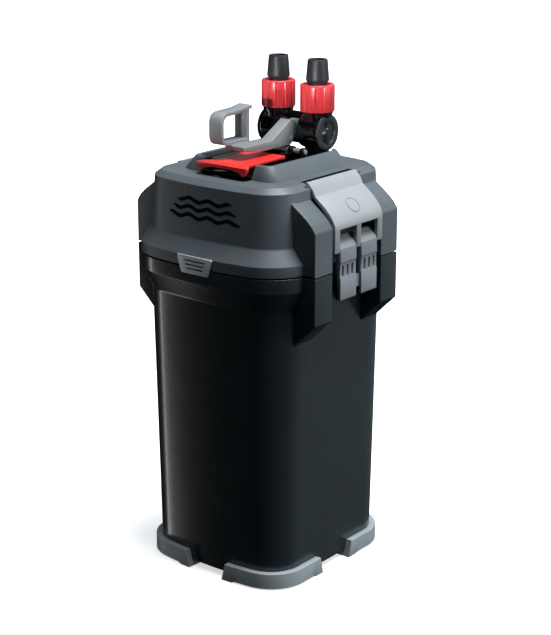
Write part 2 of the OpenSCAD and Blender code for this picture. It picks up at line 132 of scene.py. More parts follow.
def fillet(points, radii, closed=True, steps=5):
    """The outline with each corner rounded. radii is one number, or one per point."""
    n = len(points)
    if not hasattr(radii, "__len__"):
        radii = [radii] * n
    out = []
    for i, (p, r) in enumerate(zip(points, radii)):
        if r <= 0 or (not closed and i in (0, n - 1)):
            out.append(tuple(p))
            continue
        p = Vector(p)
        a = Vector(points[i - 1]) - p
        b = Vector(points[(i + 1) % n]) - p
        turn = math.pi - a.angle(b)
        if turn < STRAIGHT_RADIANS:
            out.append(tuple(p))
            continue
        reach = min(r * math.tan(turn / 2), EDGE_SHARE * a.length, EDGE_SHARE * b.length)
        start, end = p + a.normalized() * reach, p + b.normalized() * reach
        for k in range(steps + 1):
            t = k / steps
            out.append(tuple(start.lerp(p, t).lerp(p.lerp(end, t), t)))
    return out


def add_ring(bm, points):
    return [bm.verts.new(Vector(p) * MM) for p in points]


def bridge(bm, a, b):
    """Faces between two equal rings of vertices."""
    for i in range(len(a)):
        j = (i + 1) % len(a)
        bm.faces.new((a[i], a[j], b[j], b[i]))


def loft(bm, rings, close_along=False):
    """Skins a list of equal rings of points. close_along joins the last ring to the first."""
    made = [add_ring(bm, r) for r in rings]
    for a, b in zip(made, made[1:]):
        bridge(bm, a, b)
    if close_along:
        bridge(bm, made[-1], made[0])
    else:
        bm.faces.new(made[0])
        bm.faces.new(made[-1])


def place(points, axis, at):
    """Lays 2-D points in the plane across an axis, at one position along it."""
    if axis == X:
        return [(at, u, v) for u, v in points]
    if axis == Y:
        return [(u, at, v) for u, v in points]
    return [(u, v, at) for u, v in points]


def prism(bm, points, axis, start, end, soft=0.0, steps=3):
    """A solid of one outline, between two positions on an axis, with its end edges rounded."""
    if soft <= 0:
        loft(bm, [place(points, axis, start), place(points, axis, end)])
        return
    inner = inset(points, soft)
    rings = []
    for k in range(steps + 1):
        a = math.pi / 2 * k / steps
        rings.append(place(mix(inner, points, math.sin(a)), axis, start + soft * (1 - math.cos(a))))
    for k in range(steps + 1):
        a = math.pi / 2 * (1 - k / steps)
        rings.append(place(mix(inner, points, math.sin(a)), axis, end - soft * (1 - math.cos(a))))
    loft(bm, rings)


def mix(a, b, t):
    return [tuple(Vector(p).lerp(Vector(q), t)) for p, q in zip(a, b)]


def area(points):
    return 0.5 * sum(p[0] * q[1] - q[0] * p[1] for p, q in zip(points, points[1:] + points[:1]))


def inset(points, amount):
    """The outline moved inward by amount, one point for each point."""
    sign = 1 if area(points) > 0 else -1
    out = []
    n = len(points)
    for i in range(n):
        p = Vector(points[i])
        a = (p - Vector(points[i - 1])).normalized()
        b = (Vector(points[(i + 1) % n]) - p).normalized()
        na, nb = Vector((-a.y, a.x)) * sign, Vector((-b.y, b.x)) * sign
        m = na + nb
        m = m.normalized() if m.length > 1e-6 else na
        out.append(tuple(p + m * (amount / max(0.35, m.dot(na)))))
    return out


def turned_rings(profile, axis, centre, segments, wobble=None):
    """One ring round an axis for each (radius, height) point. wobble may change the radius round the ring."""
    rings = []
    for r, h in profile:
        ring = []
        for i in range(segments):
            a = 2 * math.pi * i / segments
            u, v = polar(0, 0, r if wobble is None else wobble(r, a), a)
            ring.append({X: (h, centre[0] + u, centre[1] + v), Y: (centre[0] + u, h, centre[1] + v),
                         Z: (centre[0] + u, centre[1] + v, h)}[axis])
        rings.append(ring)
    return rings


def lathe(bm, profile, axis, centre, segments=72, wobble=None):
    """Turns a closed profile of (radius, height) points about a line through centre."""
    loft(bm, turned_rings(profile, axis, centre, segments, wobble), close_along=True)


def solid_lathe(bm, profile, axis, centre, segments=72):
    """Turns an open profile whose ends are closed by flat caps."""
    loft(bm, turned_rings(profile, axis, centre, segments))


def box_points(x0, y0, x1, y1):
    return [(x0, y0), (x1, y0), (x1, y1), (x0, y1)]


def bevel(bm, width, segments=2, angle=28):
    """Rounds every edge whose faces meet at more than angle degrees."""
    bm.normal_update()
    edges = [e for e in bm.edges if len(e.link_faces) == 2 and e.calc_face_angle(0) > math.radians(angle)]
    bmesh.ops.bevel(bm, geom=edges, offset=width * MM, segments=segments, profile=0.5,
                    affect="EDGES", clamp_overlap=True)


def sided(points, side):
    """An outline drawn for the right side, or its mirror image for the left."""
    return points if side > 0 else [(-x, z) for x, z in points]


def reach_of(side, near, far):
    """The two positions at near and far from the middle on one side, lower first."""
    return sorted((side * near, side * far))


def make_object(name, bm):
    """Welds the mesh, shades it smooth up to the sharp angle and adds it to the scene."""
    bmesh.ops.remove_doubles(bm, verts=bm.verts, dist=WELD_METRES)
    bmesh.ops.recalc_face_normals(bm, faces=bm.faces)
    mesh = bpy.data.meshes.new(name)
    bm.to_mesh(mesh)
    bm.free()
    mesh.shade_smooth()
    mesh.set_sharp_from_angle(angle=math.radians(SHARP_DEGREES))
    obj = bpy.data.objects.new(name, mesh)
    bpy.context.scene.collection.objects.link(obj)
    return obj


def apply_modifier(obj, kind, **settings):
    """Adds one modifier and applies it."""
    mod = obj.modifiers.new(kind.lower(), kind)
    for key, value in settings.items():
        setattr(mod, key, value)
    bpy.context.view_layer.update()
    graph = bpy.context.evaluated_depsgraph_get()
    mesh = bpy.data.meshes.new_from_object(obj.evaluated_get(graph))
    obj.modifiers.clear()
    obj.data = mesh
    return obj


def cut(obj, bm, join=False):
    """Cuts the solids in bm out of obj, or joins them to it."""
    tool = make_object("tool", bm)
    apply_modifier(obj, "BOOLEAN", operation="UNION" if join else "DIFFERENCE", solver="EXACT", object=tool)
    bpy.data.objects.remove(tool)
    obj.data.set_sharp_from_angle(angle=math.radians(SHARP_DEGREES))
    return obj


def soften(obj, width, angle):
    """Makes the object again with its edges rounded."""
    name = obj.name
    bm = bmesh.new()
    bm.from_mesh(obj.data)
    bevel(bm, width, 2, angle)
    bpy.data.objects.remove(obj)
    return make_object(name, bm)


# ---- materials ----
def shader(name, **sockets):
    mat = bpy.data.materials.new(name)
    mat.use_nodes = True
    tree = mat.node_tree
    bsdf = tree.nodes["Principled BSDF"]
    for key, value in sockets.items():
        bsdf.inputs[key.replace("_", " ")].default_value = value
    return mat, tree, bsdf


def noise(tree, scale, detail=3.0, stretch=(1, 1, 1)):
    coord = tree.nodes.new("ShaderNodeTexCoord")
    mapping = tree.nodes.new("ShaderNodeMapping")
    mapping.inputs["Scale"].default_value = stretch
    texture = tree.nodes.new("ShaderNodeTexNoise")
    texture.inputs["Scale"].default_value = scale
    texture.inputs["Detail"].default_value = detail
    tree.links.new(coord.outputs["Object"], mapping.inputs["Vector"])
    tree.links.new(mapping.outputs["Vector"], texture.inputs["Vector"])
    return texture.outputs["Fac"]


def ramp(tree, fac, stops):
    node = tree.nodes.new("ShaderNodeValToRGB")
    elements = node.color_ramp.elements
    while len(elements) < len(stops):
        elements.new(0.5)
    for element, (at, colour) in zip(elements, stops):
        element.position = at
        element.color = (*colour, 1)
    tree.links.new(fac, node.inputs["Fac"])
    return node.outputs["Color"]


def span(tree, fac, lowest, highest):
    """The middle half of a noise value, stretched over lowest to highest."""
    node = tree.nodes.new("ShaderNodeMapRange")
    node.inputs["From Min"].default_value = 0.25
    node.inputs["From Max"].default_value = 0.75
    node.inputs["To Min"].default_value = lowest
    node.inputs["To Max"].default_value = highest
    tree.links.new(fac, node.inputs["Value"])
    return node.outputs["Result"]


def bump(tree, bsdf, height, strength, distance):
    node = tree.nodes.new("ShaderNodeBump")
    node.inputs["Strength"].default_value = strength
    node.inputs["Distance"].default_value = distance
    tree.links.new(height, node.inputs["Height"])
    tree.links.new(node.outputs["Normal"], bsdf.inputs["Normal"])


def tint(colour, k):
    return tuple(min(1, c * k) for c in colour)


def plastic(name, colour, rough, grain=0.1, grain_scale=2600, vary=0.08, **sockets):
    """Moulded plastic: slightly uneven colour and gloss, and a fine mould grain."""
    mat, tree, bsdf = shader(name, **sockets)
    shades = [(0.3, tint(colour, 1 - vary)), (0.7, tint(colour, 1 + vary))]
    tree.links.new(ramp(tree, noise(tree, 38), shades), bsdf.inputs["Base Color"])
    tree.links.new(span(tree, noise(tree, 160, 4), rough * 0.9, rough * 1.12), bsdf.inputs["Roughness"])
    bump(tree, bsdf, noise(tree, grain_scale, 2), grain, 0.00012)
    return mat


def gloss(name, colour, rough, ripple=0.03, vary=0.1, **sockets):
    """Polished moulding: a faint long ripple in the surface and a trace of dust in the gloss."""
    mat, tree, bsdf = shader(name, **sockets)
    shades = [(0.3, tint(colour, 1 - vary)), (0.7, tint(colour, 1 + vary))]
    tree.links.new(ramp(tree, noise(tree, 25), shades), bsdf.inputs["Base Color"])
    tree.links.new(span(tree, noise(tree, 60, 3), rough * 0.95, rough * 1.06), bsdf.inputs["Roughness"])
    bump(tree, bsdf, noise(tree, 22, 1), ripple, 0.0003)
    return mat


def metal(name, colour, rough, stretch=(1, 1, 40), **sockets):
    """Bare metal with fine lines drawn out along one direction."""
    mat, tree, bsdf = shader(name, Metallic=1.0, **sockets)
    lines = noise(tree, 400, 3, stretch)
    tree.links.new(ramp(tree, lines, [(0.3, tint(colour, 0.85)), (0.7, tint(colour, 1.1))]),
                   bsdf.inputs["Base Color"])
    tree.links.new(span(tree, lines, rough * 0.8, rough * 1.3), bsdf.inputs["Roughness"])
    bump(tree, bsdf, lines, 0.08, 0.0001)
    return mat


def porous(name, colour, rough, scale, depth, **sockets):
    """Foam, felt, ceramic: cells in colour and relief."""
    mat, tree, bsdf = shader(name, Roughness=rough, **sockets)
    coord = tree.nodes.new("ShaderNodeTexCoord")
    cells = tree.nodes.new("ShaderNodeTexVoronoi")
    cells.inputs["Scale"].default_value = scale
    tree.links.new(coord.outputs["Object"], cells.inputs["Vector"])
    tree.links.new(ramp(tree, cells.outputs["Distance"], [(0.1, tint(colour, 0.45)), (0.6, colour)]),
                   bsdf.inputs["Base Color"])
    bump(tree, bsdf, cells.outputs["Distance"], 0.6, depth)
    return mat


SLOTS = {
    "canister_gloss": gloss("canister_gloss", (0.019, 0.0265, 0.0315), 0.26,
                            Coat_Weight=0.25, Coat_Roughness=0.12),
    "head_satin": plastic("head_satin", (0.094, 0.113, 0.128), 0.45, grain=0.12),
    "inner_plastic": plastic("inner_plastic", (0.05, 0.055, 0.06), 0.45),
    "seal_rubber": plastic("seal_rubber", (0.012, 0.012, 0.012), 0.6, grain=0.2, grain_scale=1500),
    "black_gloss": gloss("black_gloss", (0.004, 0.004, 0.005), 0.12, Coat_Weight=0.4, Coat_Roughness=0.05),
    "badge_silver": plastic("badge_silver", (0.82, 0.84, 0.87), 0.3, grain=0.04, Metallic=0.25),
    "lamination_steel": metal("lamination_steel", (0.3, 0.3, 0.32), 0.4, stretch=(0.2, 0.2, 60)),
    "copper_winding": metal("copper_winding", (0.6, 0.24, 0.08), 0.35, stretch=(60, 1, 1)),
    "white_ceramic": gloss("white_ceramic", (0.85, 0.85, 0.82), 0.2),
    "magnet_ferrite": plastic("magnet_ferrite", (0.04, 0.04, 0.045), 0.55),
    "white_plastic": plastic("white_plastic", (0.8, 0.8, 0.78), 0.35),
    "pin_steel": metal("pin_steel", (0.55, 0.55, 0.57), 0.25),
    "lever_grey": plastic("lever_grey", (0.235, 0.255, 0.268), 0.36, grain=0.08),
    "signal_red": plastic("signal_red", (0.88, 0.035, 0.03), 0.3, grain=0.05),
    "latch_light": plastic("latch_light", (0.33, 0.35, 0.365), 0.42, grain=0.08, vary=0.03),
    "tab_grey": plastic("tab_grey", (0.215, 0.24, 0.262), 0.42, grain=0.1, vary=0.04),
    "foot_grey": plastic("foot_grey", (0.30, 0.345, 0.37), 0.45, grain=0.12),
    "cap_grey": plastic("cap_grey", (0.022, 0.026, 0.029), 0.4, grain=0.08),
    "nozzle_slate": plastic("nozzle_slate", (0.011, 0.0145, 0.018), 0.5, grain=0.08),
    "nut_red": plastic("nut_red", (0.72, 0.045, 0.055), 0.3, grain=0.05),
    "media_ceramic": porous("media_ceramic", (0.8, 0.77, 0.7), 0.85, 900, 0.0003),
    "media_pad": porous("media_pad", (0.85, 0.85, 0.8), 0.95, 1500, 0.0005),
    "media_foam": porous("media_foam", (0.05, 0.05, 0.05), 0.95, 700, 0.001),
}


def dress(obj, body, slot, *nodes):
    """Gives a new piece its finish, its body and the CAD nodes that it stands for."""
    obj.data.materials.clear()
    obj.data.materials.append(SLOTS[slot])
    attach(obj, body)
    if nodes:
        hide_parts(*nodes)
    return obj


def dress_cad_nodes():
    """Every CAD node takes the finish of its own material slot."""
    slot_of = {s["node"]: s["material_slot"] for s in frame["record"]["subparts"]}
    for name, obj in frame["nodes"].items():
        obj.data.materials.clear()
        obj.data.materials.append(SLOTS[slot_of[name]])


# ---- body outline ----
def outline(d, notch=None):
    """The body's outline, offset outward by d. notch limits x along the latch channel."""
    r = CORNER_R + d
    big = r + CORNER_X / math.sin(BOW_ANGLE)
    tip = math.degrees(BOW_ANGLE)
    half = []
    for y in (-36, -35, -18, 0, 18, 35, 36):
        x = HALF_W + d
        if notch is not None and abs(y) <= 35:
            x = min(x, notch)
        half.append((x, y))
    half += arc(CORNER_X, CORNER_Y, r, 0, 90 - tip, 14)
    half += arc(0, BOW_CENTRE, big, 90 - tip * 0.86, 90 + tip * 0.86, 12)
    half += arc(-CORNER_X, CORNER_Y, r, 90 + tip, 180, 14)
    return half + [(-x, -y) for x, y in half]


def body_rings(profile, notch):
    """The body's outline as one ring for each (offset, height) point of a profile."""
    return [place(outline(d, notch), Z, z) for d, z in profile]


def build_canister():
    outer = fillet([(-DRAFT - 7, FLOOR), (-DRAFT, FLOOR), (0, FLARE_LOW), (BELT, BELT_LOW),
                    (BELT, SEAM_LOW), (-WALL, SEAM_LOW)], [0, 3, 5, 1.0, 0.5, 0], closed=False)
    inner = [(-WALL, SEAM - 30), (-DRAFT - WALL, FLOOR + 3)]
    bm = bmesh.new()
    loft(bm, body_rings(outer + inner, CHANNEL_X - 2))
    for side in (1, -1):
        for front in (1, -1):
            guard(bm, low_guard(), side, front)
        for y0, y1 in ((WINDOW_OUT + 0.3, 30), (-30, -WINDOW_OUT - 0.3), (-2.2, 2.2)):
            latch_post(bm, side, y0, y1)
    obj = make_object("canister_shell", bm)
    dress(obj, "root", "canister_gloss", "canister")


def low_guard():
    return fillet([(72, 208.1), (GUARD_X, 229), (GUARD_X, SEAM_LOW), (72, SEAM_LOW)],
                  [0, 1.2, 0.4, 0])


def high_guard():
    curve = fillet([(GUARD_X, SEAM_HIGH), (GUARD_X, 304.0), (89.4, 309.7), (84.6, 314.1), (78.6, 318.5),
                    (70.6, 324.3)], [0, 5, 6, 20, 20, 0], closed=False, steps=6)
    return [(66, SEAM_HIGH), *curve, (66, 325)]


def guard(bm, points, side, front):
    y0, y1 = reach_of(front, CHANNEL_HALF, GUARD_HALF)
    prism(bm, sided(points, side), Y, y0, y1, soft=1.1, steps=4)


def latch_post(bm, side, y0, y1):
    r = 3.3
    points = [(73, 234), (LEVER_X + r, 245), *arc(LEVER_X, PIVOT_Z, r, 0, 180, 8),
              (LEVER_X - 5, SEAM_LOW - 1), (73, SEAM_LOW - 1)]
    prism(bm, sided(points, side), Y, y0, y1, soft=0.4, steps=2)


def build_head():
    profile = fillet([(-WALL - 1, SEAM_HIGH), (BELT, SEAM_HIGH), (BELT, BELT_HIGH), (-0.8, BELT_END),
                      (SHOULDER_IN, SHOULDER), (DECK_IN, DECK), (-22, DECK)], [0, 0.5, 1.0, 3.5, 0.9, 0.9, 0],
                     closed=False)
    inner = [(-22, DECK - 3), (-13, DECK - 3), (-5, BELT_END)]
    bm = bmesh.new()
    loft(bm, body_rings(profile, CHANNEL_X) + body_rings(inner, CHANNEL_X - 4), close_along=True)
    obj = make_object("head_shell", bm)
    lid = bmesh.new()
    prism(lid, outline(-15), Z, DECK - 3, DECK - 0.02)
    cut(obj, lid, join=True)
    slots = bmesh.new()
    for side in (1, -1):
        block = bmesh.new()
        points = [(56, 322), (69.5, 322), (69.5, DECK - 1.5), (56, DECK - 1.5)]
        prism(block, sided(points, side), Y, -CHANNEL_HALF - 3, CHANNEL_HALF + 3)
        cut(obj, block, join=True)
        points = [(60, 345), (60, 326), (68.9, 326), (69.3, 330), (71.3, 325.4), (85, 325.4), (85, 345)]
        prism(slots, sided(points, side), Y, -CHANNEL_HALF, CHANNEL_HALF)
    cut(obj, slots)
    dress(obj, "root", "head_satin", "head_cover")
    bm = bmesh.new()
    for side in (1, -1):
        for front in (1, -1):
            guard(bm, high_guard(), side, front)
    dress(make_object("head_guards", bm), "root", "head_satin")


# ---- feet ----
def build_foot(name, sx, sy):
    """One corner foot: a rounded wall round the corner, with a toe under each end."""
    start_x, end_y = 21.6, 21.8
    section = fillet([(1.8, 0), (1.8, FOOT_TOP), (-3.9, FOOT_TOP - 0.4), (-3.9, FLOOR - 0.3),
                      (-16, FLOOR - 0.3), (-16, 0)], [0.5, 1.0, 0.7, 0, 0.5, 0.5], steps=3)
    tip = math.degrees(BOW_ANGLE)
    reach = math.degrees(math.asin(start_x / (CORNER_R + CORNER_X / math.sin(BOW_ANGLE))))
    stations = [("bow", 90 - reach - (tip - reach) * i / 8) for i in range(8)]
    stations += [("corner", 90 - tip - (90 - tip) * i / 16) for i in range(17)]
    stations += [("side", CORNER_Y - (CORNER_Y - end_y) * i / 8) for i in range(1, 9)]
    toe, lift = 2, 1.5
    rings = []
    last = len(stations) - 1
    for k, (kind, value) in enumerate(stations):
        ring = []
        for d, z in section:
            r = CORNER_R + d
            if kind == "bow":
                x, y = polar(0, BOW_CENTRE, r + CORNER_X / math.sin(BOW_ANGLE), math.radians(value))
            elif kind == "corner":
                x, y = polar(CORNER_X, CORNER_Y, r, math.radians(value))
            else:
                x, y = HALF_W + d, value
            if min(k, last - k) > toe and z < lift:
                z = lift
            slant = (FOOT_TOP - z) * 0.24
            if k == 0:
                x -= slant
            if k == last:
                y -= slant
            ring.append((sx * x, sy * y, z))
        rings.append(ring)
    bm = bmesh.new()
    loft(bm, rings)
    dress(make_object(name + "_shape", bm), "root", "foot_grey", name)


# ---- latches ----
def plate_outline():
    slope = [(95, 302), (94.7, 305.5), (93, 309.4), (89.6, 314), (85.2, 318.4), (80.2, 322.5), (75.2, 326.2)]
    return [(65.4, 328.2), (67.6, 328.2), (68.2, 331.8), (70.3, 329.8), (72.5, 325.3), (77, 320.8),
            (82, 316.6), (86.6, 311.8), (90, 307), (91.6, 302), (91.9, 292), (89.9, 290), (89.9, 283),
            (94.8, 283), *slope, (72.9, 331), (68.2, 336.3), (65.4, 336.5)]


def build_hook(side, name):
    points = plate_outline()
    bm = bmesh.new()
    prism(bm, sided(points, side), Y, -PLATE_HALF, PLATE_HALF)
    obj = make_object("hook_plate_" + name, bm)
    windows = bmesh.new()
    for front in (1, -1):
        y0, y1 = reach_of(front, WINDOW_IN, WINDOW_OUT)
        hole = box_points(80, 270, 110, WINDOW_TOP)
        prism(windows, sided(hole, side), Y, y0, y1)
    cut(obj, windows)
    obj = soften(obj, 0.55, 24)
    dress(obj, "hook_" + name, "latch_light", "latch_hook_" + name)
    ring_mark(side, name)


def ring_mark(side, name):
    """A plain thin ring moulded into the slope of the hook plate."""
    bm = bmesh.new()
    centre = Vector((87.5, 1, 316.3))
    along = Vector((-0.707, 0, 0.707))
    out = Vector((0.707, 0, 0.707))
    rings = []
    for i in range(48):
        a = 2 * math.pi * i / 48
        ray = along * math.cos(a) + Vector((0, 1, 0)) * math.sin(a)
        sag = 0.42 * math.cos(a) ** 2
        ring = []
        for k in range(8):
            b = 2 * math.pi * k / 8
            p = centre + ray * (6.6 + 0.28 * math.cos(b)) + out * (0.22 * math.sin(b) - sag)
            ring.append((side * p.x, p.y, p.z))
        rings.append(ring)
    loft(bm, rings, close_along=True)
    dress(make_object("plate_ring_" + name, bm), "hook_" + name, "tab_grey")


def lever_outline():
    return [(81, 289), (84.4, 293.2), (86.2, 293.9), (93.2, 288.2), (94.8, 285.4), (95.25, 274.6),
            (94.7, 273.4), (94.6, 262.6), (95.25, 261.2), (95.25, 244.2), (94.6, 243.3), (93.2, 243.3),
            (91.2, 262), (90.6, 274), (89.8, 279), (86.4, 283.1), (83, 283.1)]


def build_lever(side, name):
    points = sided(lever_outline(), side)
    barrel = arc(LEVER_X, PIVOT_Z, 3.35, 0, 345, 23)
    web = box_points(91.6, 250, 93, 260)
    parts = bmesh.new()
    for front in (1, -1):
        y0, y1 = reach_of(front, TAB_IN, TAB_OUT)
        bm = bmesh.new()
        prism(bm, points, Y, y0, y1)
        tab = make_object("tab", bm)
        for i in range(3):
            middle = front * (8.3 + 6.2 * i)
            hole = box_points(93.0, middle - 1.3, 97, middle + 1.3)
            slot = bmesh.new()
            prism(slot, sided(hole, side), Z, 262.8, 271.7)
            cut(tab, slot)
        bm = bmesh.new()
        bm.from_mesh(tab.data)
        bevel(bm, 0.45, 2, 26)
        bm.to_mesh(tab.data)
        bm.free()
        parts.from_mesh(tab.data)
        bpy.data.objects.remove(tab)
        prism(parts, sided(barrel, side), Y, y0, y1)
    prism(parts, sided(web, side), Y, -4.2, 4.2)
    dress(make_object("latch_tabs_" + name, parts), "lever_" + name, "tab_grey", "latch_lever_" + name)


# ---- deck ----
def build_deck_frame():
    foot_ring = fillet([(-49.5, -51), (49.5, -51), (49.5, 52), (-49.5, 52)], 16, steps=8)
    top_ring = fillet([(-41, -46), (41, -46), (41, 48), (-41, 48)], 12, steps=8)
    edge = fillet([(-40.2, -45.2), (40.2, -45.2), (40.2, 47.2), (-40.2, 47.2)], 11.2, steps=8)
    hole = fillet([(-37.5, -42), (37.5, -42), (37.5, 46), (-37.5, 46)], 8.8, steps=8)
    rings = [place(hole, Z, DECK), place(foot_ring, Z, DECK),
             place(mix(foot_ring, top_ring, 0.03), Z, DECK + 0.9),
             place(mix(foot_ring, top_ring, 0.94), Z, FRAME_TOP - 0.6),
             place(top_ring, Z, FRAME_TOP - 0.12), place(edge, Z, FRAME_TOP),
             place(mix(edge, hole, 0.85), Z, FRAME_TOP), place(hole, Z, FRAME_TOP - 0.5)]
    bm = bmesh.new()
    loft(bm, rings, close_along=True)
    obj = make_object("deck_frame_shape", bm)
    cuts = bmesh.new()
    prism(cuts, box_points(-27, -60, 27, -30), Z, DECK - 1, 360)
    prism(cuts, box_points(-33, 40, 33, 60), Z, DECK - 1, 360)
    cut(obj, cuts)
    cuts = bmesh.new()
    solid_lathe(cuts, [(BARREL_R + 0.4, -36), (BARREL_R + 0.4, 36)], X, (VALVE_Y, VALVE_Z))
    cut(obj, cuts)
    dress(obj, "root", "head_satin", "deck_frame")


def build_deck_panel():
    bm = bmesh.new()
    prism(bm, fillet(box_points(-37.3, -41.8, 37.3, 43.8), 8.8), Z, DECK, DECK + 7.6, soft=0.6)
    obj = make_object("deck_panel_shape", bm)
    cuts = bmesh.new()
    prism(cuts, fillet(box_points(-27, -70, 27, 22), 3), Z, DECK + 3.2, 360)
    cut(obj, cuts)
    dress(obj, "root", "black_gloss", "deck_panel")
    # The hinge lugs and the thin black faces of painted shade share one black object.
    bm = bmesh.new()
    add_hinge_lugs(bm)
    add_painted_shade_sheets(bm)
    dress(make_object("deck_lugs_and_shade_sheets", bm), "root", "black_gloss")


def add_hinge_lugs(bm):
    """The two ears that hold the lock lever's pin."""
    for side in (1, -1):
        lug = fillet([(LOCK_Y - 4, DECK + 2), (LOCK_Y + 4, DECK + 2), (LOCK_Y + 3.2, LOCK_Z + 3),
                      (LOCK_Y - 3.2, LOCK_Z + 3)], [0, 0, 2.5, 2.5])
        x0, x1 = reach_of(side, 20.5, 24)
        prism(bm, lug, X, x0, x1, soft=0.4)


def add_painted_shade_sheets(bm):
    """Thin black faces of painted shade for the deck opening (sill, front and sides) and for the two hook slots.
    """
    # Black sheets on the notch floor and on the deck just in front of it: painted shade under the red lip.
    sill = fillet(box_points(-26.9, -50.8, 26.9, -40), [1, 1, 0.5, 0.5])
    prism(bm, sill, Z, DECK + 0.02, DECK + 2.4, soft=0.3)
    front = fillet(box_points(-25, -60, 27, -50), [5, 5, 0.5, 0.5])
    prism(bm, front, Z, DECK - 0.3, DECK + 0.25, soft=0.1)
    # Black sheets standing in the open hook slots: painted shade.
    for side in (1, -1):
        x0, x1 = reach_of(side, 59.8, 60.4)
        prism(bm, box_points(-CHANNEL_HALF, 326.5, CHANNEL_HALF, DECK - 0.1), X, x0, x1, soft=0.1)
    # Black sheets on the notch's side walls: painted shade.
    for side in (1, -1):
        x0, x1 = reach_of(side, 26.4, 27.2)
        wall = [(-48.5, DECK + 2.6), (-36, DECK + 2.6), (-36, FRAME_TOP - 1.2), (-45, FRAME_TOP - 1.2)]
        prism(bm, wall, X, x0, x1, soft=0.2)


# ---- badge and mark ----
def build_badge():
    plate = fillet([(-14, 262.8), (14, 262.8), (18.5, 277.5), (-18.5, 277.5)], 1.4)
    bm = bmesh.new()
    prism(bm, plate, Y, BADGE_Y, BADGE_Y + 1.2, soft=0.35)
    dress(make_object("badge_plate", bm), "root", "badge_silver", "front_badge")
    bm = bmesh.new()
    for k in range(3):
        z = 266.6 + 3.2 * k
        half = 8.5 + 1.2 * k
        prism(bm, fillet(box_points(-half, z, half, z + 1.1), 0.5), Y, BADGE_Y, BADGE_Y + 0.6)
    dress(make_object("badge_lines", bm), "root", "black_gloss")


def head_front(x, z):
    """The y of the head's front face at a place on it."""
    d = -0.8 + (SHOULDER_IN + 0.8) * (z - BELT_END) / (SHOULDER - BELT_END)
    big = CORNER_R + d + CORNER_X / math.sin(BOW_ANGLE)
    return -(BOW_CENTRE + math.sqrt(big * big - x * x))


def build_front_mark():
    """Three stacked glossy waves, a plain water sign."""
    bm = bmesh.new()
    for row in range(3):
        middle = 306.5 + 6.6 * row
        half = 37 - 4.5 * row
        steps = 48
        rings = []
        for i in range(steps + 1):
            x = -half + 2 * half * i / steps
            swing = 1.3 * math.sin(2 * math.pi * x / 20)
            thick = 1.7 * min(1, (half - abs(x)) / 5 + 0.15)
            ring = []
            for dz, out in ((-1, -0.3), (-0.9, 0.25), (0.9, 0.25), (1, -0.3)):
                z = middle + swing + dz * thick
                ring.append((x, head_front(x, z) - out, z))
            rings.append(ring)
        loft(bm, rings)
    dress(make_object("wave_mark", bm), "root", "black_gloss", "front_mark")


# ---- valve ----
def build_valve_block():
    r = BARREL_R
    bm = bmesh.new()
    for side in (1, -1):
        inner, outer = 9 * side, (BARREL_END - 1.8) * side
        profile = [(r - 2, inner), (r - 0.6, inner), (r - 0.1, inner + 0.4 * side), (r, inner + 1.2 * side),
                   (r, outer - 3 * side), (r, outer - 0.5 * side), (r - 0.3, outer)]
        solid_lathe(bm, profile, X, (VALVE_Y, VALVE_Z))
        neck = [(10.9, VALVE_Z + 4), (10.9, VALVE_Z + 11), (12.6, VALVE_Z + 14), (12.9, NUT_LOW - 0.8),
                (12.4, NUT_LOW - 0.3)]
        solid_lathe(bm, neck, Z, (side * PORT_X, VALVE_Y))
        stem = [(10, DECK - 12), (10, VALVE_Z - 14), (11.2, VALVE_Z - 11), (11.2, VALVE_Z)]
        solid_lathe(bm, stem, Z, (side * PORT_X, VALVE_Y))
        solid_lathe(bm, [(10.4, NUT_LOW - 1), (10.4, 392)], Z, (side * PORT_X, VALVE_Y))
    obj = make_object("valve_body", bm)
    bm = bmesh.new()
    outer_arc = arc(VALVE_Y, VALVE_Z, r, -70, 78, 18)
    inner_arc = arc(VALVE_Y, VALVE_Z, 9, 78, -70, 18)
    prism(bm, outer_arc + inner_arc, X, -10.5, 10.5)
    link = make_object("valve_bridge", bm)
    dress(obj, "root", "black_gloss", "valve_block")
    dress(link, "root", "black_gloss")


def build_valve_cap(side, name):
    """The barrel's end: a satin ring round a recessed dark disc with three pale key bars."""
    r = CAP_R
    outer = BARREL_END
    bm = bmesh.new()
    profile = [(9.2, outer - 1.5), (r - 0.1, outer - 1.5), (r, outer - 1.3), (r, outer - 0.8),
               (r - 0.25, outer - 0.25), (r - 0.9, outer), (10.4, outer), (9.9, outer - 0.15),
               (9.7, outer - 0.6), (9.2, outer - 0.8)]
    lathe(bm, [(rr, side * h) for rr, h in profile], X, (VALVE_Y, VALVE_Z))
    dress(make_object("cap_ring_" + name, bm), "root", "cap_grey", "valve_cap_" + name)
    bm = bmesh.new()
    solid_lathe(bm, [(9.8, side * (outer - 2.4)), (9.8, side * (outer - 1.2)), (9.4, side * (outer - 1.0))],
                X, (VALVE_Y, VALVE_Z))
    dress(make_object("cap_disc_" + name, bm), "root", "seal_rubber")
    bm = bmesh.new()
    for a in (1, 2, 3):
        c, s = math.cos(math.pi / 2 * a), math.sin(math.pi / 2 * a)
        flat = fillet(box_points(2.2, -1.0, 6.6, 1.0), 0.5)
        points = [(VALVE_Y + u * c - v * s, VALVE_Z + u * s + v * c) for u, v in flat]
        x0, x1 = reach_of(side, outer - 1.4, outer - 0.5)
        prism(bm, points, X, x0, x1, soft=0.25)
    dress(make_object("cap_key_" + name, bm), "root", "tab_grey")


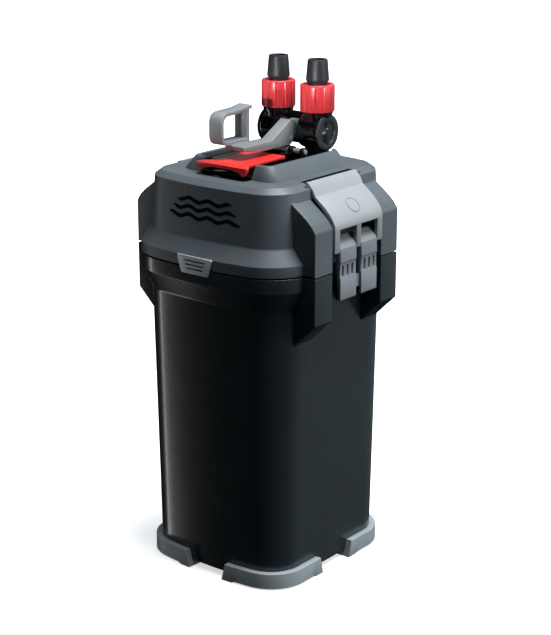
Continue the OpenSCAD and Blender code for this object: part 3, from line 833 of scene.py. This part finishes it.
def build_nut(side, name):
    """A lock nut with wide flats parted by narrow grooves."""
    ribs = 12

    def ribbed(r, a):
        if r < 12:
            return r
        turn = (a * ribs / (2 * math.pi)) % 1
        edge = min(turn, 1 - turn) * 2 * math.pi * r / ribs
        return r - 0.75 * max(0, 1 - (edge / 0.75) ** 2)

    r = BARREL_R
    profile = [(10.5, NUT_LOW), (13.3, NUT_LOW), (r - 0.35, NUT_LOW + 0.25), (r, NUT_LOW + 0.8),
               (r, NUT_TOP - 1.3), (r - 0.15, NUT_TOP - 0.7), (r - 0.6, NUT_TOP - 0.2), (13.2, NUT_TOP),
               (11.6, NUT_TOP), (11.1, NUT_TOP - 0.3), (10.9, NUT_TOP - 1), (9.8, NUT_TOP - 1.2),
               (9.8, NUT_TOP - 2.8), (10.5, NUT_TOP - 2.9)]
    bm = bmesh.new()
    lathe(bm, profile, Z, (side * PORT_X, VALVE_Y), segments=ribs * 16, wobble=ribbed)
    dress(make_object("nut_" + name, bm), "nut_" + name, "nut_red", "lock_nut_" + name)


def build_nozzle(side, name):
    profile = [(5.5, 392), (10, 392), (10, 394), (8, 394.1), (7.9, 400.4), (8.1, 401), (9.3, 402.4),
               (9.6, 403.1), (9.55, 404), (8.3, TOP - 1.2), (8.15, TOP - 0.35), (7.8, TOP), (6.7, TOP),
               (6.4, TOP - 0.3), (6.2, TOP - 2), (5.5, TOP - 3.5)]
    bm = bmesh.new()
    lathe(bm, profile, Z, (side * PORT_X, VALVE_Y), segments=80)
    dress(make_object("hose_nozzle_" + name, bm), "root", "nozzle_slate", "nozzle_" + name)


def build_valve_lever():
    bm = bmesh.new()
    bar = fillet([(-36, 353.6), (-36, 357), (-1.5, 357), (2, 350.3), (-17, 350.3)], [0.6, 0.8, 0, 0, 3])
    prism(bm, bar, X, -7, -3.5, soft=0.5)
    arm = fillet([(-36, 353.6), (-36, 357), (-1, 357), (24.5, 371), (30, 370), (34, 362), (25, 350.3),
                  (-17, 350.3)], [0.6, 0.8, 6, 1.2, 1, 0, 3, 3])
    prism(bm, arm, X, -4.5, 6.5, soft=0.5)
    solid_lathe(bm, [(2.6, 6.3), (2.6, 6.7), (2.3, 6.9)], X, (25.4, 355.2), 40)
    solid_lathe(bm, [(7.4, -6.8), (8, -6.2), (8, 6.2), (7.4, 6.8)], X, (VALVE_Y, VALVE_Z))
    link = fillet(box_points(-36, 353.6, -15, 357.6), 0.6)
    prism(bm, link, X, -13, -5.5, soft=0.4)
    obj = make_object("valve_lever_arm", bm)
    dress(obj, "valve", "lever_grey", "valve_lever")
    bm = bmesh.new()
    front, back, bottom, top = -46.5, -11.5, 357, 385
    outer = fillet([(front, bottom), (back, bottom), (back, top - 1.6), (-8.2, top - 1.6),
                    (-8.2, top + 1.6), (-13, top + 0.7), (-22, top - 0.6), (front, top - 1.4)],
                   [9, 0.6, 1.2, 0.7, 0.9, 3, 8, 9], steps=7)
    inner = fillet([(front + 3.1, bottom + 3.1), (back - 3.1, bottom + 3.1), (back - 3.1, top - 3.6),
                    (front + 3.1, top - 4.4)], [6, 0.8, 1.5, 6.2], steps=7)
    obj = loop_band(outer, inner, -21, -7.5)
    dress(obj, "valve", "lever_grey")


def loop_band(outer, inner, x0, x1):
    bm = bmesh.new()
    prism(bm, outer, X, x0, x1)
    obj = make_object("finger_loop", bm)
    hole = bmesh.new()
    prism(hole, inner, X, x0 - 5, x1 + 5)
    cut(obj, hole)
    return soften(obj, 0.5, 50)


def build_lock_lever():
    """The red plate: straight at the back, flared in front, with a lip turned down to a tip on each side."""
    stations = [(1.5, 18.6, 345.8, 0.0), (-10, 18.8, 345.9, 0.0), (-30, 19, 345.9, 0.0),
                (-42, 19.4, 345.9, 0.0), (-47, 21, 346.1, 0.1), (-50.5, 23.6, 346.4, 0.4),
                (-53, 25.6, 346.2, 0.9), (-54.4, 25.9, 345.4, 1.6)]
    rings = []
    across = 20
    for y, half, z, droop in stations:
        top, under = [], []
        for k in range(across + 1):
            t = -1 + 2 * k / across
            sag = droop * max(0, (abs(t) - 0.55) / 0.45) ** 1.5
            top.append((half * t, y, z - sag))
            under.append((half * t, y + (0.6 if y < -53 else 0), z - 2.3 - sag))
        rings.append(top + under[::-1])
    bm = bmesh.new()
    loft(bm, rings)
    bevel(bm, 0.4, 2, 40)
    edge = [(-25.9, 345.6), (25.9, 345.6), (25.9, 343.8), (24.4, 340.2), (22, 338.5), (17.5, 341.2),
            (9, 342.7), (-9, 342.7), (-17, 341.2), (-21.6, 338.6), (-24.2, 340.4), (-25.9, 343.8)]
    prism(bm, fillet(edge, [0.4, 0.4, 2, 2, 1.2, 4, 5, 5, 4, 1.2, 2, 2]), Y, -56.3, -53.5, soft=0.5)
    dress(make_object("lock_plate", bm), "lock", "signal_red", "lock_lever")
    bm = bmesh.new()
    for side in (1, -1):
        x0, x1 = reach_of(side, 8, 13)
        arm = fillet([(0, 343.3), (0, 345.8), (LOCK_Y - 4, 345.8), (LOCK_Y - 4, 343.3)], 0.4)
        prism(bm, arm, X, x0, x1, soft=0.4)
        solid_lathe(bm, [(3.1, x0), (3.5, x0 + 0.4), (3.5, x1 - 0.4), (3.1, x1)], X, (LOCK_Y, LOCK_Z))
    dress(make_object("lock_arms", bm), "lock", "black_gloss")


def build_gland():
    bm = bmesh.new()
    y0, y1 = low("cord_gland", Y), high("cord_gland", Y)
    profile = [(3.2, y0), (5.95, y0), (5.95, 77), (7.6, 77), (8, 77.4), (8, 81), (7.5, 81.6), (6, 82),
               (5.7, 84), (5.9, 84.3), (5.9, 85.5), (5.4, 85.8), (5.4, 87), (5.6, 87.3), (5.6, 88.4),
               (5.0, y1), (3.5, y1), (3.2, y1 - 0.4)]
    lathe(bm, profile, Y, (-40, 305), segments=56)
    dress(make_object("gland_body", bm), "root", "seal_rubber", "cord_gland")


# ---- stage ----
def build_floor():
    bm = bmesh.new()
    half = 4000
    corners = [(-half, -half), (half, -half), (half, half), (-half, half)]
    bm.faces.new(add_ring(bm, place(corners, Z, 0)))
    floor = make_object("floor", bm)
    mat, tree, bsdf = shader("floor_white", Roughness=0.75)
    tree.links.new(ramp(tree, noise(tree, 6), [(0.3, (0.86, 0.86, 0.86)), (0.7, (0.89, 0.89, 0.89))]),
                   bsdf.inputs["Base Color"])
    bsdf.inputs["Emission Color"].default_value = (1, 1, 1, 1)
    bsdf.inputs["Emission Strength"].default_value = 0.62
    floor.data.materials.append(mat)
    floor.visible_glossy = False
    floor.visible_diffuse = False
    floor.visible_shadow = False


def area_light(name, place_at, aim, size, power, colour=(1, 1, 1)):
    data = bpy.data.lights.new(name, "AREA")
    data.shape = "RECTANGLE"
    data.size, data.size_y = size
    data.energy = power
    data.color = colour
    lamp = bpy.data.objects.new(name, data)
    bpy.context.scene.collection.objects.link(lamp)
    lamp.location = place_at
    lamp.rotation_euler = (Vector(aim) - Vector(place_at)).to_track_quat("-Z", "Y").to_euler()
    lamp.visible_camera = False
    return lamp


def build_lights():
    area_light("right_box", (1.3, 0.4, 0.7), (0, 0, 0.28), (0.7, 0.8), 6.5)
    area_light("left_strip", (-1.05, -0.5, -0.05), (-0.05, -0.05, 0.18), (0.12, 1.3), 2.1)
    beam = area_light("valve_beam", (0.25, -1.1, 0.44), (0, 0.02, 0.405), (0.14, 0.06), 0.033)
    beam.data.spread = math.radians(5)
    data = bpy.data.lights.new("top_sun", "SUN")
    data.energy = 4.3
    data.angle = math.radians(28)
    sun = bpy.data.objects.new("top_sun", data)
    bpy.context.scene.collection.objects.link(sun)
    sun.rotation_euler = Vector((0.22, 0.12, 1)).to_track_quat("Z", "Y").to_euler()
    build_world()


def build_world():
    """White to the camera; a soft room for the light, bright above and right, dark in front."""
    world = bpy.data.worlds.new("studio")
    bpy.context.scene.world = world
    world.use_nodes = True
    tree = world.node_tree
    background = tree.nodes["Background"]
    coord = tree.nodes.new("ShaderNodeTexCoord")
    facing = tree.nodes.new("ShaderNodeVectorMath")
    facing.operation = "DOT_PRODUCT"
    facing.inputs[1].default_value = (0.35, 0.55, 0.75)
    tree.links.new(coord.outputs["Generated"], facing.inputs[0])
    room = tree.nodes.new("ShaderNodeMapRange")
    room.inputs["From Min"].default_value = 0.0
    room.inputs["From Max"].default_value = 1.0
    room.inputs["To Min"].default_value = 0.01
    room.inputs["To Max"].default_value = 0.6
    tree.links.new(facing.outputs["Value"], room.inputs["Value"])
    path = tree.nodes.new("ShaderNodeLightPath")
    pick = tree.nodes.new("ShaderNodeMix")
    pick.inputs["B"].default_value = 1.0
    tree.links.new(path.outputs["Is Camera Ray"], pick.inputs["Factor"])
    tree.links.new(room.outputs["Result"], pick.inputs["A"])
    tree.links.new(pick.outputs["Result"], background.inputs["Strength"])
    hue = tree.nodes.new("ShaderNodeMix")
    hue.data_type = "RGBA"
    hue.inputs["A"].default_value = (0.86, 1.0, 1.08, 1)
    hue.inputs["B"].default_value = (1, 1, 1, 1)
    tree.links.new(path.outputs["Is Camera Ray"], hue.inputs["Factor"])
    tree.links.new(hue.outputs["Result"], background.inputs["Color"])


def build_camera():
    """A long lens, 39 degrees round to the right and 17 degrees above."""
    azimuth, elevation, distance = math.radians(38.82), math.radians(17.31), 1.36715
    right = Vector((math.cos(azimuth), math.sin(azimuth), 0))
    back = Vector((math.sin(azimuth) * math.cos(elevation), -math.cos(azimuth) * math.cos(elevation),
                   math.sin(elevation)))
    up = back.cross(right)
    target = Vector((0, 0, 0.21)) + right * 0.00777 - up * 0.0041
    data = bpy.data.cameras.new("camera")
    data.lens = 92.2
    data.sensor_width = 36
    camera = bpy.data.objects.new("camera", data)
    bpy.context.scene.collection.objects.link(camera)
    camera.location = target + back * distance
    camera.rotation_euler = (-back).to_track_quat("-Z", "Y").to_euler()
    bpy.context.scene.camera = camera


build_camera()
build_lights()
build_floor()
dress_cad_nodes()
build_canister()
build_head()
for corner, sx, sy in (("front_left", -1, -1), ("front_right", 1, -1),
                       ("back_left", -1, 1), ("back_right", 1, 1)):
    build_foot("foot_" + corner, sx, sy)
for side_name, side_sign in (("left", -1), ("right", 1)):
    build_hook(side_sign, side_name)
    build_lever(side_sign, side_name)
    build_valve_cap(side_sign, side_name)
    build_nut(side_sign, side_name)
    build_nozzle(side_sign, side_name)
build_deck_frame()
build_deck_panel()
build_badge()
build_front_mark()
build_valve_block()
build_valve_lever()
build_lock_lever()
build_gland()
bpy.context.scene.view_settings.view_transform = "Standard"
